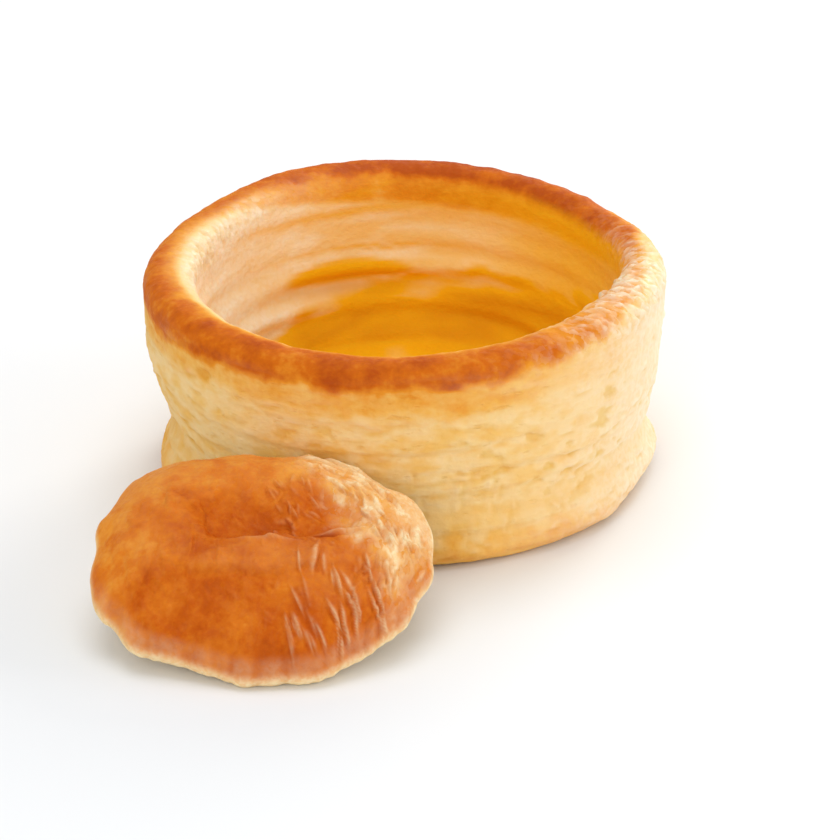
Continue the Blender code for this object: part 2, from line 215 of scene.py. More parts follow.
def bakedCrust(name, look):
    # browning picks a colour from the ramp, then amber, pallor and crease shade are laid over it: deep amber
    # and crease shade are painted shade, pallor is partly painted highlight
    material = bpy.data.materials.new(name)
    material.use_nodes = True
    nodes, links = material.node_tree.nodes, material.node_tree.links
    shader = nodes["Principled BSDF"]

    def plug(socket, value):
        if isinstance(value, bpy.types.NodeSocket):
            links.new(value, socket)
        else:
            socket.default_value = value

    def add(kind, inputs, **settings):
        node = nodes.new(kind)
        for setting, value in settings.items():
            setattr(node, setting, value)
        for socket, value in inputs.items():
            plug(node.inputs[socket], value)
        return node

    def maths(operation, first, second):
        return add("ShaderNodeMath", {0: first, 1: second}, operation=operation).outputs[0]

    def mark(attribute):
        return add("ShaderNodeAttribute", {}, attribute_name=attribute).outputs["Fac"]

    def grain(scale, stretch=(1, 1, 1), detail=4.0):
        place = add("ShaderNodeMapping", {"Vector": objectPlace, "Scale": stretch})
        noise = add("ShaderNodeTexNoise", {"Vector": place.outputs[0], "Scale": scale, "Detail": detail})
        return noise.outputs["Fac"]

    def between(value, low, high, toLow=0.0, toHigh=1.0):
        inputs = {"Value": value, "From Min": low, "From Max": high, "To Min": toLow, "To Max": toHigh}
        return add("ShaderNodeMapRange", inputs).outputs[0]

    def blended(share, first, second, kind="MIX"):
        node = add("ShaderNodeMix", {}, data_type="RGBA", blend_type=kind)
        for place, value in ((0, share), (6, first), (7, second)):
            plug(node.inputs[place], value)
        return node.outputs[2]

    objectPlace = add("ShaderNodeTexCoord", {}).outputs["Object"]
    browning = mark("browning")
    blotch = grain(look["blotchScale"])
    speckle = grain(look["speckleScale"], detail=2.0)
    shift = maths("MULTIPLY", maths("SUBTRACT", blotch, 0.5), look["blotchStrength"])
    shift = maths("ADD", shift, maths("MULTIPLY", maths("SUBTRACT", speckle, 0.5), look["speckleStrength"]))
    browned = maths("ADD", browning, maths("MULTIPLY", shift, maths("ADD", browning, 0.3)))
    ramp = add("ShaderNodeValToRGB", {"Fac": browned})
    stops = ramp.color_ramp.elements
    while len(stops) < len(look["browns"]):
        stops.new(0.5)
    for stop, (place, colour) in zip(stops, look["browns"]):
        stop.position = place
        stop.color = (*colour, 1.0)
    colour = ramp.outputs["Color"]

    # Golden patches where the leaves are thin, and short dashes where they part.
    leafy, flaky = mark("leafy"), mark("flaky")
    thin = between(grain(look["thinScale"], look["thinStretch"], 2.0), *look["thinRange"])
    thinShare = maths("MULTIPLY", maths("MULTIPLY", thin, leafy), look["thinShare"])
    colour = blended(thinShare, colour, (*look["thinColour"], 1.0), "MULTIPLY")
    dash = between(grain(look["dashScale"], look["dashStretch"], 3.0), *look["dashRange"])
    dash = maths("MULTIPLY", dash, leafy)
    dashShare = maths("MULTIPLY", dash, look["dashShare"])
    colour = blended(dashShare, colour, (*look["dashColour"], 1.0), "MULTIPLY")

    # Small flakes: wobbly cells, each with its own height and paleness.
    wobble = add("ShaderNodeTexNoise", {"Vector": objectPlace, "Scale": look["flakeScale"], "Detail": 2.0})
    shifting = {0: wobble.outputs["Color"], 1: (look["flakeWobble"],) * 3, 2: objectPlace}
    shifted = add("ShaderNodeVectorMath", shifting, operation="MULTIPLY_ADD")
    stretched = add("ShaderNodeMapping", {"Vector": shifted.outputs[0], "Scale": look["flakeStretch"]})
    cells = add("ShaderNodeTexVoronoi", {"Vector": stretched.outputs[0], "Scale": look["flakeScale"]})
    flake = maths("MULTIPLY", maths("SUBTRACT", cells.outputs["Color"], 0.5), flaky)

    amber = mark("amber")
    # amber: painted shade down the hollow, deepening from 0.5 to 1, with the pastry's own golden bands and
    # patch
    colour = blended(between(amber, 0.0, 0.5), colour, (*look["amberColour"], 1.0))
    colour = blended(between(amber, 0.5, 1.0), colour, (*look["deepShadeAmberColour"], 1.0))
    pallor = maths("MULTIPLY", mark("pallor"), between(speckle, 0.35, 0.6, 0.6, 1.0))
    pallor = maths("ADD", pallor, maths("MULTIPLY", flake, look["flakeContrast"]))
    pallor = add("ShaderNodeClamp", {"Value": pallor}).outputs[0]
    colour = blended(pallor, colour, (*look["paleColour"], 1.0))
    # painted shade in pits, grooves and under ledges
    colour = blended(mark("creaseShade"), colour, (*look["creaseShadeColour"], 1.0), "MULTIPLY")
    plug(shader.inputs["Base Color"], colour)

    roughness = between(browned, 0.0, 1.0, look["dryRoughness"], look["glazeRoughness"])
    uneven = maths("MULTIPLY", maths("SUBTRACT", speckle, 0.5), 0.3)
    plug(shader.inputs["Roughness"], maths("ADD", roughness, uneven))
    relief = grain(look["bumpScale"], look["bumpStretch"], 5.0)
    relief = maths("SUBTRACT", relief, maths("MULTIPLY", dash, 0.5))
    relief = maths("ADD", relief, maths("MULTIPLY", flake, look["flakeHeight"]))
    depth = {"Height": relief, "Strength": look["bumpStrength"], "Distance": look["bumpDepth"]}
    plug(shader.inputs["Normal"], add("ShaderNodeBump", depth).outputs[0])
    gloss = maths("MULTIPLY", flaky, between(speckle, 0.4, 0.6, 0.2, 1.0))
    plug(shader.inputs["Coat Weight"], maths("MULTIPLY", gloss, look["gloss"]))
    shader.inputs["Coat Roughness"].default_value = look["glossBlur"]
    shader.inputs["Specular IOR Level"].default_value = look["shine"]
    shader.inputs["Subsurface Weight"].default_value = look["softness"]
    shader.inputs["Subsurface Radius"].default_value = (1.0, 0.5, 0.2)
    shader.inputs["Subsurface Scale"].default_value = look["softDepth"]
    return material


# The case: a turned profile, with folds and spreads as the solid has them, and finer pastry relief on top

caseShape = {
    "radius": 45.0,  # widest, at the outside of the rim
    "height": 39.8,
    "rimWidth": 8.3,
    "rimDepth": 4.0,
    "rimSquareness": 2.4,
    "shoulder": (44.2, 24.0),  # radius and height
    "waist": (41.2, 10.5),
    "bulge": (42.7, 4.0),
    "spreadReach": 5.0,
    "foot": 38.6,
    "floor": (28.5, 9.5),
    "floorCurve": [(0.0, 0.0), (0.7, 0.2), (1.0, 1.3)],  # share of the floor's radius, and mm that it rises
    # share of the mouth's radius and of the hollow's depth, going up the hollow's wall
    "insideCurve": [(0.89, 0.18), (0.94, 0.38), (1.0, 0.62)],
    # height, sway, waves, phase and depth of each outside fold
    "folds": [(7.0, 0.9, 3, 0.4, 0.75), (12.6, 1.5, 2, 2.2, 0.80), (17.8, 1.2, 3, 4.4, 0.70),
              (23.4, 1.7, 2, 0.9, 0.75), (28.8, 0.8, 3, 3.1, 0.40)],
    "foldWidth": 1.3,
    # height, sway, waves, phase and reach of each ledge in the hollow
    "ledges": [(28.6, 0.9, 1, 1.9, 0.55), (23.8, 1.3, 1, 0.8, 0.95), (17.2, 1.8, 1, 2.6, 1.25),
               (13.2, 0.9, 2, 0.3, 0.70)],
    "ledgeWidth": 1.4,
    # direction, half spread in degrees, height, half height and depth of each parted pocket
    "pockets": [(108, 20, 20.4, 1.9, 2.1), (62, 30, 14.8, 2.1, 1.3), (-35, 24, 20.0, 1.8, 1.5),
                (-140, 22, 16.2, 1.7, 1.2)],
    # every 30 degrees from +X
    "rimLift": [0.4, -0.9, 0.2, 1.0, 1.1, -0.8, -1.3, -1.0, -1.1, -0.6, 0.8, 1.5],
    "rimSpread": [0.1, 0.2, -0.1, -0.4, -0.2, 0.3, 0.8, 0.4, -0.3, -0.4, 0.1, 0.2],
    "mouthSpread": [0.6, 0.6, 0.3, 0.0, -0.2, -0.5, -0.8, -0.5, -0.2, 0.1, 0.2, -0.3],
    "shoulderSpread": [0.4, 0.2, 0.0, 0.0, 0.2, 0.5, 0.9, 0.6, 0.1, -0.2, 0.0, 0.2],
    "waistSpread": [0.9, 0.5, 0.1, -0.2, 0.3, -0.3, -1.1, -0.6, -0.1, 0.2, 0.3, 0.6],
    "bulgeSpread": [1.2, 0.6, -0.2, 0.4, -0.3, 0.1, 1.0, 0.3, 0.5, -0.3, -0.3, 0.1],
    "rows": (24, 38, 32, 78, 3),  # floor, inside, rim, outside, base
    "steps": 576,
}

caseRelief = {
    "lump": (7.5, 0.22),  # size and height of the soft swellings
    # thickness, overhang, overlap and offset of the leaves, outside and in the hollow
    "leaf": (1.9, 0.22, 0.25, 0.0),
    "thinLeaf": (0.95, 0.06, 0.3, 0.4),
    "insideLeaf": (2.9, 0.18, 0.35, 0.9),
    "leafWarp": ((26.0, 1.8), (7.0, 0.8)),  # size and sway of the leaves' waves
    # size of the noise, and its values where leaves, bubbles and opened bubbles begin and are whole
    "leafPatch": ((14.0, 14.0, 5.0), -0.30, 0.55),
    "bubblyPatch": (13.0, -0.15, 0.40),
    "pit": ((3.8, 3.8, 1.9), 0.27, 0.44),
    "pitDepth": 0.30,
    "dimple": (1.8, 0.09),
    "insideBand": ((12.0, 12.0, 2.4), 0.12),
    "bandSway": (2.4, 2.0, 0.6),  # height, count and phase of the bands' waves round the hollow
    "floorLump": (9.0, 0.34),
    "floorDimple": (2.8, 0.16),
    "rimLump": (5.0, 0.18),
    "rimDimple": (1.8, 0.09),
    # the flaky places are where the lamps strike hardest: the right of the rim and the left inner lip
    "flakyLitSide": (-16, 32),  # direction and half spread in degrees
    "flakyLitLip": (163, 32),
    "lipBand": (-4.5, 3.2),  # mm from the crown, negative in the hollow, and half width
    # area from and to, turn and its spread in degrees, half lengths, half widths, heights and count of the
    # strokes: wall edges along the wall, flakes along the rim from its flaky side's middle
    "wallEdges": ((3.0, 3.0), (275.0, 31.0), (2, 16), (1.0, 3.6), (0.40, 0.80), (0.10, 0.30), 190),
    "wallPulls": ((188.0, 8.0), (228.0, 19.0), (88, 9), (0.9, 2.4), (0.40, 0.80), (0.10, 0.22), 22),
    "sideFlakes": ((-32.0, -4.5), (30.0, 7.5), (75, 40), (0.7, 2.2), (0.36, 0.56), (0.18, 0.42), 230),
    "lipFlakes": ((-20.0, -8.5), (20.0, -1.5), (95, 26), (0.8, 2.4), (0.36, 0.55), (0.16, 0.38), 120),
    "scallop": (8.0, 0.5),  # size and height of the waves along the foot
    "footDents": [(-18, 12, 0.6), (-36, 9, -0.3)],  # direction, half spread and depth
    "footBand": (2.2, 2.6),  # height and half height of both
}

caseBrowning = {
    # mm from the crown that the brown reaches outside and inside, and the gold beyond it inside
    "outerReach": [0.5, 4.0, 6.5, 7.0, 7.5, 8.0, 8.0, 8.2, 7.8, 7.4, 7.2, 4.5],
    "innerReach": [4.6, 5.0, 4.0, 2.8, 2.2, -0.4, -0.5, 0.3, 0.9, 0.8, 0.9, 2.8],
    "goldReach": [7.5, 8.4, 8.6, 8.4, 6.5, 1.4, 0.7, 1.5, 2.1, 2.0, 2.3, 4.6],
    # mm from and to that each of them fades over
    "outerFade": (2.2, -2.2),
    "innerFade": (-1.5, 1.2),
    "goldFade": (-1.2, 0.8),
    # lower on the right, at +X, as is the outer reach there: partly a paler bake, partly painted highlight
    # where the right lamp strikes
    "strength": [0.52, 0.82, 0.96, 0.98, 0.80, 0.64, 0.68, 0.78, 0.80, 0.82, 0.68, 0.46],
    "ragged": (((7.0, 7.0, 6.0), 1.2), (1.8, 0.5)),  # size and sway of the waves in every edge
    "mottle": (6.0, 0.22),  # size and strength
    "goldToast": 0.55,  # how brown the gold is, as a share of the brown
    "wallGlow": (14.5, 10.0, 0.23),  # mm from the crown where it ends and is whole, and strength
    "footGlow": (9.0, 0.5, 0.30),  # the same, in height
    "leastToast": 0.05,
    "shadedAmberTop": [27.0, 26.5, 23.0, 21.3, 17.5, 11.5, 9.5, 10.5, 14.0, 17.0, 20.0, 24.0],  # height, below which the amber is painted shade, highest on the shaded right
    "amberFade": (-2.6, 2.4),  # mm below the top
    "shadedAmberDeep": (1.0, 7.0),
    "amberShares": (0.52, 0.34, 0.25),  # at least, how much more painted shade deep down, and how much the bands add
    "amberPatch": (108, 21, 22.4, 2.4),  # direction, half spread, height, half height
    "patchFade": (1.26, 0.80),  # from and to, as a share of its half size
    "bandAmber": (0.26, 0.18),  # strength, and how much less on the lit side
    "goldStripes": [(105, 50, 33.4, 1.5, 0.40), (98, 44, 26.8, 0.7, 0.40)],  # as the patch, and strength
    # the hollow's right wall, in shade: its amber is painted shade
    "shadedInside": (30, 50),  # direction and half spread
    "shadedAmber": 0.44,
    "floorAmber": (0.20, 0.16, 0.34),  # in the middle, its unevenness, and how much more painted shade at the floor's edge
    "floorEdge": (14.0, 27.0),  # radius from and to
    # the hollow's left wall, lit from the right: its pallor is painted light
    "litInside": (172, 50),  # direction and half spread
    # the right wall: partly its own paler bake, partly painted highlight where the right lamp strikes
    "paleLitWall": (-12, 34),
    # how pale each thing is, painted highlight on lit sides and crests among it, and how dark the painted
    # shade in pits, grooves and under the ledges is
    "pale": {"flakyLitSide": 0.45, "flakyLitLip": 0.80, "flakes": 0.6, "wall": 0.85, "leaves": 0.15, "edges": 0.25,
             "hollow": 0.05, "litHollowSide": 0.72, "bands": 0.35, "floor": 0.16},
    "paintedShade": {"pits": 0.7, "edges": 0.5, "flakes": 0.5, "hollow": 0.25},
}

caseLook = {
    "browns": [(0.0, (0.87, 0.62, 0.29)), (0.22, (0.85, 0.48, 0.12)), (0.45, (0.78, 0.29, 0.020)),
               (0.75, (0.60, 0.13, 0.002)), (1.0, (0.44, 0.070, 0.001))],
    "amberColour": (0.84, 0.40, 0.003),
    "deepShadeAmberColour": (0.70, 0.28, 0.002),
    "paleColour": (0.92, 0.78, 0.58),
    "creaseShadeColour": (0.90, 0.77, 0.42),
    "blotchScale": 260.0,
    "blotchStrength": 0.50,
    "speckleScale": 900.0,
    "speckleStrength": 0.30,
    "thinScale": 200.0,
    "thinStretch": (1.0, 1.0, 1.7),
    "thinRange": (0.42, 0.64),
    "thinColour": (0.97, 0.82, 0.45),
    "thinShare": 0.9,
    "dashScale": 300.0,
    "dashStretch": (1.0, 1.0, 2.4),
    "dashRange": (0.62, 0.74),
    "dashColour": (0.93, 0.78, 0.45),
    "dashShare": 0.7,
    "flakeScale": 850.0,
    "flakeStretch": (0.85, 1.35, 0.9),
    "flakeWobble": 1.6 * mm,
    "flakeContrast": 0.8,
    "flakeHeight": 1.5,
    "bumpScale": 700.0,
    "bumpStretch": (1.0, 1.0, 1.5),
    "bumpStrength": 0.7,
    "bumpDepth": 0.4 * mm,
    "dryRoughness": 0.75,
    "glazeRoughness": 0.55,
    "gloss": 0.25,
    "glossBlur": 0.25,
    "shine": 0.09,
    "softness": 0.10,
    "softDepth": 1.2 * mm,
}


def caseProfile(shape):
    # half section from the floor's middle, up the hollow, over a squared oval rim, down to the base
    half = shape["rimWidth"] / 2
    middle = shape["radius"] - half
    level = shape["height"] - shape["rimDepth"]
    inner = middle - half
    floorRadius, floorHeight = shape["floor"]
    hollow = shape["height"] - floorHeight
    floorRows, insideRows, rimRows, outsideRows, baseRows = shape["rows"]
    floorPoints = [(share * floorRadius, floorHeight + rise) for share, rise in shape["floorCurve"]]
    wallPoints = [(share * inner, floorHeight + rise * hollow) for share, rise in shape["insideCurve"]]
    floor = curveThrough(floorPoints, floorRows)
    inside = curveThrough([floorPoints[-1], *wallPoints, (inner, level)], insideRows)
    turn = np.linspace(math.pi, 0.0, rimRows)[1:-1]
    power = 2.0 / shape["rimSquareness"]
    rim = np.column_stack([middle + half * np.sign(np.cos(turn)) * np.abs(np.cos(turn)) ** power,
                           level + shape["rimDepth"] * np.sin(turn) ** power])
    (shoulderRadius, shoulderHeight), (waistRadius, waistHeight) = shape["shoulder"], shape["waist"]
    bulgeRadius, bulgeHeight = shape["bulge"]
    outside = curveThrough(
        [(shape["radius"], level), (shoulderRadius, shoulderHeight),
         (0.45 * shoulderRadius + 0.55 * waistRadius, 0.4 * shoulderHeight + 0.6 * waistHeight),
         (waistRadius, waistHeight), (bulgeRadius, bulgeHeight),
         (0.97 * bulgeRadius, 0.3 * bulgeHeight), (shape["foot"], 0.0)], outsideRows)
    base = np.column_stack([shape["foot"] * np.linspace(1.0, 0.0, baseRows + 1)[1:], np.zeros(baseRows)])
    return np.vstack([floor, inside[1:], rim, outside, base])


def caseFolds(shape, angle, height):
    # spreads at three levels, less a groove along each swaying fold, sharp above its line and soft below
    grooves = 0.0
    for level, sway, count, phase, depth in shape["folds"]:
        line = level + sway * np.cos(count * angle + phase)
        strength = 0.6 + 0.4 * np.cos((count + 1) * angle - 2.0 * phase)
        width = np.where(height > line, 0.6, 1.7) * shape["foldWidth"]
        grooves = grooves + depth * strength * np.exp(-(((height - line) / width) ** 2))
    spread = 0.0
    for name in ("shoulder", "waist", "bulge"):
        level = hump(height, shape[name][1], shape["spreadReach"])
        spread = spread + aroundRing(angle, shape[name + "Spread"]) * level
    return spread - grooves


def caseLedges(shape, angle, height):
    # each ledge is a bell towards the axis with a shallower bell back below it, and pockets are bells back
    back = 0.0
    width = shape["ledgeWidth"]
    for level, sway, count, phase, proud in shape["ledges"]:
        line = level + sway * np.cos(count * angle + phase)
        strength = 0.65 + 0.35 * np.cos((count + 2) * angle + 1.7 * phase)
        back = back - proud * strength * hump(height, line, width)
        back = back + 0.5 * proud * strength * hump(height, line - 2.0 * width, width)
    for direction, spread, level, tall, depth in shape["pockets"]:
        back = back + depth * facing(angle, direction, spread) * hump(height, level, tall)
    return back


def makeCase(shape, relief, browning, look):
    profile = caseProfile(shape)
    length = np.r_[0.0, np.cumsum(np.hypot(*np.diff(profile, axis=0).T))]
    overRim = (length - length[profile[:, 1].argmax()])[:, None]  # negative in the hollow, positive outside
    radius, height = profile[:, :1], profile[:, 1:]
    angle = np.linspace(0.0, 2.0 * math.pi, shape["steps"], endpoint=False)[None, :]
    tall, floorHeight = shape["height"], shape["floor"][1]
    ring = shape["radius"] - 0.5 * shape["rimWidth"]
    isOutside = smoothStep(ring - 1.5, ring + 1.5, radius)
    isWall = smoothStep(tall - 0.6, tall - 5.0, height)
    offFloor = smoothStep(floorHeight + 0.4, floorHeight + 3.0, height)
    onFloor = (1.0 - isOutside) * smoothStep(floorHeight + 2.4, floorHeight + 0.7, height)
    offBase = smoothStep(0.0, 2.0, height)
    nearRim = smoothStep(0.55 * tall, tall - shape["rimDepth"], height)

    # The form: every outline that the solid has.
    outward = isOutside * isWall * offBase * caseFolds(shape, angle, height)
    outward = outward + (1.0 - isOutside) * isWall * offFloor * caseLedges(shape, angle, height)
    outward = outward + nearRim * aroundRing(angle, shape["rimSpread"])
    outward = outward + (1.0 - isOutside) * offFloor * aroundRing(angle, shape["mouthSpread"])
    wide = radius + outward
    lifted = height + nearRim * aroundRing(angle, shape["rimLift"])
    grid = np.stack([wide * np.cos(angle), wide * np.sin(angle), lifted + 0.0 * angle], axis=-1)

    # The relief: leaves, bubbles and lumps along the surface's own normals.
    onRim = smoothStep(-7.0, -3.0, overRim) * smoothStep(9.5, 5.0, overRim)
    onWall = isOutside * smoothStep(3.0, 9.0, overRim) * offBase
    inHollow = (1.0 - isOutside) * smoothStep(-2.5, -6.0, overRim)
    warp = grid[..., 2]
    for k, (size, sway) in enumerate(relief["leafWarp"]):
        warp = warp + sway * latticeNoise(grid, size, 3 + k)
    patchy = noisePatches(grid, relief["leafPatch"], 11)
    stacks = [relief[name] for name in ("leaf", "thinLeaf", "insideLeaf")]
    leafShape, thinShape, insideShape = (leafSteps(warp + offset, thickness, overlap)
                                         for thickness, _, overlap, offset in stacks)
    leaves = relief["leaf"][1] * patchy * leafShape + relief["thinLeaf"][1] * thinShape
    bubbly = noisePatches(grid, relief["bubblyPatch"], 17)
    pits = noisePatches(grid, relief["pit"], 23) * bubbly
    dimples = relief["dimple"][1] * cloudNoise(grid, relief["dimple"][0], 29, 2)
    lumps = relief["lump"][1] * cloudNoise(grid, relief["lump"][0], 31)
    scallop = relief["scallop"][1] * latticeNoise(grid, relief["scallop"][0], 37)
    for direction, spread, depth in relief["footDents"]:
        scallop = scallop - depth * facing(angle, direction, spread)
    scallop = scallop * hump(height, *relief["footBand"])
    sway, count, phase = relief["bandSway"]
    swirl = grid.copy()
    swirl[..., 2] += sway * np.cos(count * angle + phase)
    bands = cloudNoise(swirl, relief["insideBand"][0], 39, 2)
    floorLumps = cloudNoise(grid, relief["floorLump"][0], 41)
    floorDimples = cloudNoise(grid, relief["floorDimple"][0], 43, 2)

    chance = np.random.default_rng(5)
    whole = np.zeros_like(warp)  # makes a full grid of a row or a column that it is added to
    edges = np.vstack([scatteredStrokes(relief[name], chance) for name in ("wallEdges", "wallPulls")])
    edgeRise, edgeCrest, edgeGroove = crestStrokes(ring * angle + whole, height + whole, edges)
    flakyLitSide = facing(angle, *relief["flakyLitSide"]) * onRim
    flakyLitLip = facing(angle, *relief["flakyLitLip"]) * hump(overRim, *relief["lipBand"])
    side, lip = (
        crestStrokes(ring * angleFrom(angle, relief[place][0]) + whole, overRim + whole,
                     scatteredStrokes(relief[flakes], chance))
        for place, flakes in (("flakyLitSide", "sideFlakes"), ("flakyLitLip", "lipFlakes")))
    flakeRise, flakeCrest, flakeGroove = (flakyLitSide * a + flakyLitLip * b for a, b in zip(side, lip))
    rimLumps = relief["rimLump"][1] * cloudNoise(grid, relief["rimLump"][0], 47, 2)
    rimLumps = rimLumps + relief["rimDimple"][1] * cloudNoise(grid, relief["rimDimple"][0], 49, 2)

    fine = onWall * (leaves - relief["pitDepth"] * pits + lumps + dimples + scallop + edgeRise)
    fine = fine + inHollow * offFloor * (relief["insideLeaf"][1] * patchy * insideShape + 0.5 * lumps)
    fine = fine + inHollow * offFloor * relief["insideBand"][1] * bands
    fine = fine + onFloor * (relief["floorLump"][1] * floorLumps + relief["floorDimple"][1] * floorDimples)
    fine = fine + np.maximum(onRim, flakyLitLip) * rimLumps + flakeRise
    grid = grid + surfaceNormals(grid) * fine[..., None]
    grid[..., 2] = np.maximum(grid[..., 2], 0.0)
    grid[0] = grid[0].mean(axis=0)
    grid[-1] = grid[-1].mean(axis=0)

    # Where the oven browned it.
    (broadSize, broadSway), (smallSize, smallSway) = browning["ragged"]
    ragged = broadSway * cloudNoise(grid, broadSize, 53) + smallSway * latticeNoise(grid, smallSize, 59)
    reach = {name: aroundRing(angle, browning[name + "Reach"]) for name in ("outer", "inner", "gold")}
    outer = smoothStep(*browning["outerFade"], overRim - reach["outer"] + ragged)
    inner = smoothStep(*browning["innerFade"], overRim + reach["inner"] + 0.4 * ragged)
    golden = smoothStep(*browning["goldFade"], overRim + reach["gold"] + 0.3 * ragged)
    strength = aroundRing(angle, browning["strength"])
    mottle = 1.0 + browning["mottle"][1] * cloudNoise(grid, browning["mottle"][0], 61)
    toasted = outer * mottle * strength * (inner + browning["goldToast"] * golden * (1.0 - inner))
    end, full, glow = browning["wallGlow"]
    wallGlow = glow * smoothStep(end, full, overRim + 1.1 * ragged) * smoothStep(0.0, 3.0, overRim)
    end, full, glow = browning["footGlow"]
    footGlow = glow * onWall * smoothStep(end, full, height + 1.2 * ragged)
    # paler right wall: partly its own paler bake, partly painted highlight from the right lamp
    isPaleLit = facing(angle, *browning["paleLitWall"])
    toasted = np.maximum(toasted, wallGlow * (1.0 - isPaleLit) + footGlow + browning["leastToast"] * mottle)

    # Amber in the hollow, bright at 0.5 and deep at 1: painted shade that deepens downwards and at the
    # floor's edge, with the pastry's own golden bands, stripes and patch.
    # the hollow's lit left wall, made pale as painted light
    litSide = facing(angle, *browning["litInside"])
    depth = aroundRing(angle, browning["shadedAmberTop"]) + 0.5 * ragged + 1.8 * bands - grid[..., 2]
    least, more, banded = browning["amberShares"]
    amber = smoothStep(*browning["amberFade"], depth)
    amber = amber * (least + more * smoothStep(*browning["shadedAmberDeep"], depth) + banded * bands)
    patchDirection, patchSpread, patchHeight, patchTall = browning["amberPatch"]
    away = np.hypot(angleFrom(angle, patchDirection) / math.radians(patchSpread),
                    (grid[..., 2] - patchHeight) / patchTall)
    amber = np.maximum(amber, 0.5 * smoothStep(*browning["patchFade"], away))
    bandAmber, litLess = browning["bandAmber"]
    amber = np.maximum(amber, (bandAmber - litLess * litSide) * smoothStep(0.25, -0.45, bands))
    for direction, spread, level, tallness, share in browning["goldStripes"]:
        stripe = share * facing(angle, direction, spread)
        amber = np.maximum(amber, stripe * hump(grid[..., 2] + 0.5 * ragged, level, tallness))
    # painted shade on the hollow's shaded right wall
    shadedSide = facing(angle, *browning["shadedInside"])
    amber = np.maximum(amber, browning["shadedAmber"] * shadedSide) * inHollow
    # the floor: uneven amber, with painted shade deepening towards its edge by the wall
    middleAmber, amberSpread, edgeShadeAmber = browning["floorAmber"]
    atFloorEdge = smoothStep(*browning["floorEdge"], radius)
    floorAmber = middleAmber + amberSpread * floorLumps + edgeShadeAmber * atFloorEdge
    amber = (1.0 - onFloor) * amber + onFloor * np.maximum(floorAmber, 0.0)

    # Pallor and crease shade: partly the pastry's own, partly painted highlight and painted shade.
    pale, paintedShade = browning["pale"], browning["paintedShade"]
    flaky = np.clip(flakyLitSide + flakyLitLip, 0.0, 1.0)
    # pale flaky pastry on the lit right rim and left inner lip, partly painted highlight, with painted glints
    # on the flake crests
    pallor = pale["flakyLitSide"] * flakyLitSide**2 + pale["flakyLitLip"] * flakyLitLip
    pallor = pallor + pale["flakes"] * np.clip(flakeCrest, 0.0, 1.0) + pale["wall"] * isPaleLit * onWall
    # the leaf edges' crests carry a painted highlight
    pallor = pallor + onWall * (pale["leaves"] * leafShape * patchy + pale["edges"] * edgeCrest)
    isCream = inHollow * (1.0 - golden) * smoothStep(0.45, 0.1, amber)
    isCream = isCream * (1.0 - 0.6 * shadedSide) * (1.0 - onFloor)
    bandPale = pale["bands"] * smoothStep(-0.1, 0.5, bands)
    # painted light on the hollow's lit left wall
    pallor = pallor + isCream * (pale["hollow"] + pale["litHollowSide"] * litSide + bandPale)
    pallor = pallor + onFloor * pale["floor"] * smoothStep(0.45, 0.05, amber)
    # painted shade: darker in pits, in grooves under leaf edges and flakes, and under the hollow's ledges
    creaseShade = onWall * (paintedShade["pits"] * pits + paintedShade["edges"] * edgeGroove)
    creaseShade = creaseShade + paintedShade["flakes"] * np.clip(flakeGroove, 0.0, 1.0)
    creaseShade = creaseShade + paintedShade["hollow"] * isCream * smoothStep(0.2, 0.0, insideShape)
    leafy = onWall * smoothStep(0.55, 0.25, toasted) * (1.0 - 0.6 * isPaleLit)
    marks = {"browning": toasted, "amber": amber, "pallor": pallor, "creaseShade": creaseShade, "leafy": leafy,
             "flaky": flaky}
    return closedSurface("caseCrust", grid, marks, bakedCrust("caseLayers", look))


# The lid: a puffed oval, sunken behind its middle, lying on its front edge against the case

lidShape = {
    "radius": 28.4,
    "depthShare": 0.845,
    "edge": 6.4,
    "rise": 5.4,
    "tilt": 24.0,
    "place": (-24.2, -60.6),
    "bedding": 0.5,
    # every 22.5 degrees from +X
    "spread": [0.1, 1.6, 0.4, 0.1, -1.4, 0.4, 1.7, 0.2, -0.4, 0.7, 0.6, -0.8, 0.8, 0.7, -0.3, -0.3],
    "pleats": [(0.30, 11, 0.6), (0.22, 17, 2.4)],  # size, count and phase
    # place, half size, turn in degrees, height and softness of each dip or swell
    "swells": [((3.2, 5.0), (14.0, 5.6), 3, -1.5, 0.35), ((-3.8, 3.4), (6.5, 4.2), -8, -1.1, 0.6),
               ((13.6, 6.6), (4.6, 3.0), 25, -0.6, 0.6), ((5.4, 8.0), (2.0, 4.6), -24, 1.1, 0.8),
               ((2.0, -4.6), (12.5, 3.4), 4, 1.2, 0.6), ((-17.0, 2.0), (6.5, 10.0), 8, 0.9, 0.9),
               ((-12.0, -12.5), (7.0, 4.0), -20, -0.8, 0.9), ((12.0, -9.0), (8.0, 5.0), 15, 0.7, 0.9),
               ((21.0, 0.0), (4.0, 9.0), 10, 0.8, 0.9)],
    "sharpness": 0.35,  # how much of each edge's softness is left on its front, where the crust broke
    # share of the radius, of the edge's thickness and of the rise, from the top's middle round the edge
    "topCurve": [(0.0, 1.0, 1.0), (0.40, 1.0, 0.93), (0.72, 1.0, 0.62), (0.90, 1.0, 0.10), (1.0, 0.56, 0.0),
                 (0.955, 0.16, 0.0), (0.86, 0.0, 0.0)],
    "underRise": 0.14,  # how much higher the underside's middle is, as a share of the edge
    "rows": (172, 8),  # top and underside
    "steps": 532,
}

